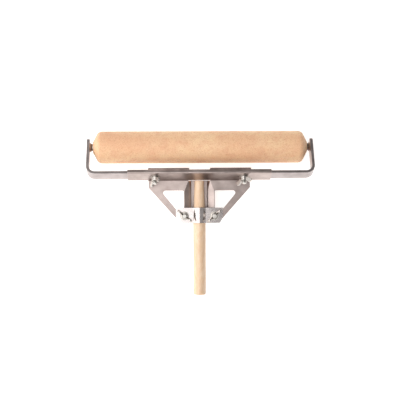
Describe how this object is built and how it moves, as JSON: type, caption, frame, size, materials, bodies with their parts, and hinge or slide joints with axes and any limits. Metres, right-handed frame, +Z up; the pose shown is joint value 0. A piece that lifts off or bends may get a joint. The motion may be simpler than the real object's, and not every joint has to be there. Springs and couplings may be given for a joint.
{
  "type": "wide rubber brayer",
  "caption": "Wide rubber brayer: a bevelled gum-rubber roller between sliding bent arms on a channel crossbar, with a strap-clamped wooden handle and wing nuts.",
  "frame": {"origin": "under the middle of the box of the brayer as it lies, on the table's plane", "axes": "+X along the roller, +Y from the handle towards the roller, +Z up as it lies on the roller and the handle's end"},
  "size_m": [0.479, 0.3474, 0.0817],
  "materials": {
    "gum_rubber": "matt, finely speckled gum rubber",
    "core_steel": "plain drawn tube",
    "bar_steel": "zinc plated flat bar, satin",
    "sheet_steel": "zinc plated sheet, fine grain, satin",
    "bolt_steel": "bright zinc",
    "nut_zinc": "bright cast wing nut",
    "bronze": "sintered bronze",
    "wood": "pale clear-finished hardwood"
  },
  "bodies": {
    "frame": {"body_plate": "sheet_steel", "crossbar": "sheet_steel", "frame_rivets": "bolt_steel", "arm_bolt_left": "bolt_steel", "arm_bolt_right": "bolt_steel", "clamp_bolt_left": "bolt_steel", "clamp_bolt_right": "bolt_steel"},
    "left_arm": {"arm_left": "bar_steel", "pivot_pin_left": "bar_steel"},
    "right_arm": {"arm_right": "bar_steel", "pivot_pin_right": "bar_steel"},
    "roller": {"roller_sleeve": "gum_rubber", "roller_core": "core_steel", "end_plug_left": "core_steel", "end_plug_right": "core_steel", "bushing_left": "bronze", "bushing_right": "bronze", "thrust_washer_left": "bolt_steel", "thrust_washer_right": "bolt_steel"},
    "strap": {"clamp_strap": "sheet_steel", "clamp_washer_left": "bolt_steel", "clamp_washer_right": "bolt_steel"},
    "clamp_nut_left": {"clamp_wing_nut_left": "nut_zinc"},
    "clamp_nut_right": {"clamp_wing_nut_right": "nut_zinc"},
    "arm_washer_left": {"arm_washer_left": "bolt_steel"},
    "arm_washer_right": {"arm_washer_right": "bolt_steel"},
    "arm_nut_left": {"arm_wing_nut_left": "nut_zinc"},
    "arm_nut_right": {"arm_wing_nut_right": "nut_zinc"},
    "handle": {"handle": "wood"}
  },
  "joints": [
    {"name": "left_arm_slide", "type": "slide", "parent": "frame", "child": "left_arm", "axis": [-1, 0, 0], "range_m": [0, 0.03]},
    {"name": "right_arm_slide", "type": "slide", "parent": "frame", "child": "right_arm", "axis": [1, 0, 0], "range_m": [0, 0.03]},
    {"name": "roller_spin", "type": "hinge", "parent": "left_arm", "child": "roller", "pos_m": [0, 0.13975, 0.034], "axis": [1, 0, 0], "continuous": true},
    {"name": "strap_lift", "type": "slide", "parent": "frame", "child": "strap", "axis": [0, -0.1019, 0.9948], "range_m": [0, 0.00476]},
    {"name": "clamp_nut_right_turn", "type": "hinge", "parent": "strap", "child": "clamp_nut_right", "pos_m": [0.0284, -0.00724, 0.04697], "axis": [0, -0.1019, 0.9948], "range_deg": [0, 1080]},
    {"name": "clamp_nut_left_turn", "type": "hinge", "parent": "strap", "child": "clamp_nut_left", "pos_m": [-0.0344, -0.00724, 0.04697], "axis": [0, -0.1019, 0.9948], "range_deg": [0, 1080]},
    {"name": "arm_washer_left_slide", "type": "slide", "parent": "frame", "child": "arm_washer_left", "axis": [0, -0.9262, 0.3771], "range_m": [0, 0.00476]},
    {"name": "arm_nut_left_turn", "type": "hinge", "parent": "arm_washer_left", "child": "arm_nut_left", "pos_m": [-0.096, 0.06473, 0.06454], "axis": [0, -0.9262, 0.3771], "range_deg": [0, 1080]},
    {"name": "arm_washer_right_slide", "type": "slide", "parent": "frame", "child": "arm_washer_right", "axis": [0, -0.9262, 0.3771], "range_m": [0, 0.00476]},
    {"name": "arm_nut_right_turn", "type": "hinge", "parent": "arm_washer_right", "child": "arm_nut_right", "pos_m": [0.09, 0.06473, 0.06454], "axis": [0, -0.9262, 0.3771], "range_deg": [0, 1080]},
    {"name": "handle_slide", "type": "slide", "parent": "frame", "child": "handle", "axis": [0, -0.9948, -0.1019], "range_m": [0, 0.1]}
  ],
  "couplings": [
    {"joint": "clamp_nut_right_turn", "follows": "strap_lift", "rad_per_m": 3957},
    {"joint": "clamp_nut_left_turn", "follows": "strap_lift", "rad_per_m": 3957},
    {"joint": "arm_washer_left_slide", "follows": "arm_nut_left_turn", "m_per_rad": 0.00025266},
    {"joint": "arm_washer_right_slide", "follows": "arm_nut_right_turn", "m_per_rad": 0.00025266}
  ]
}
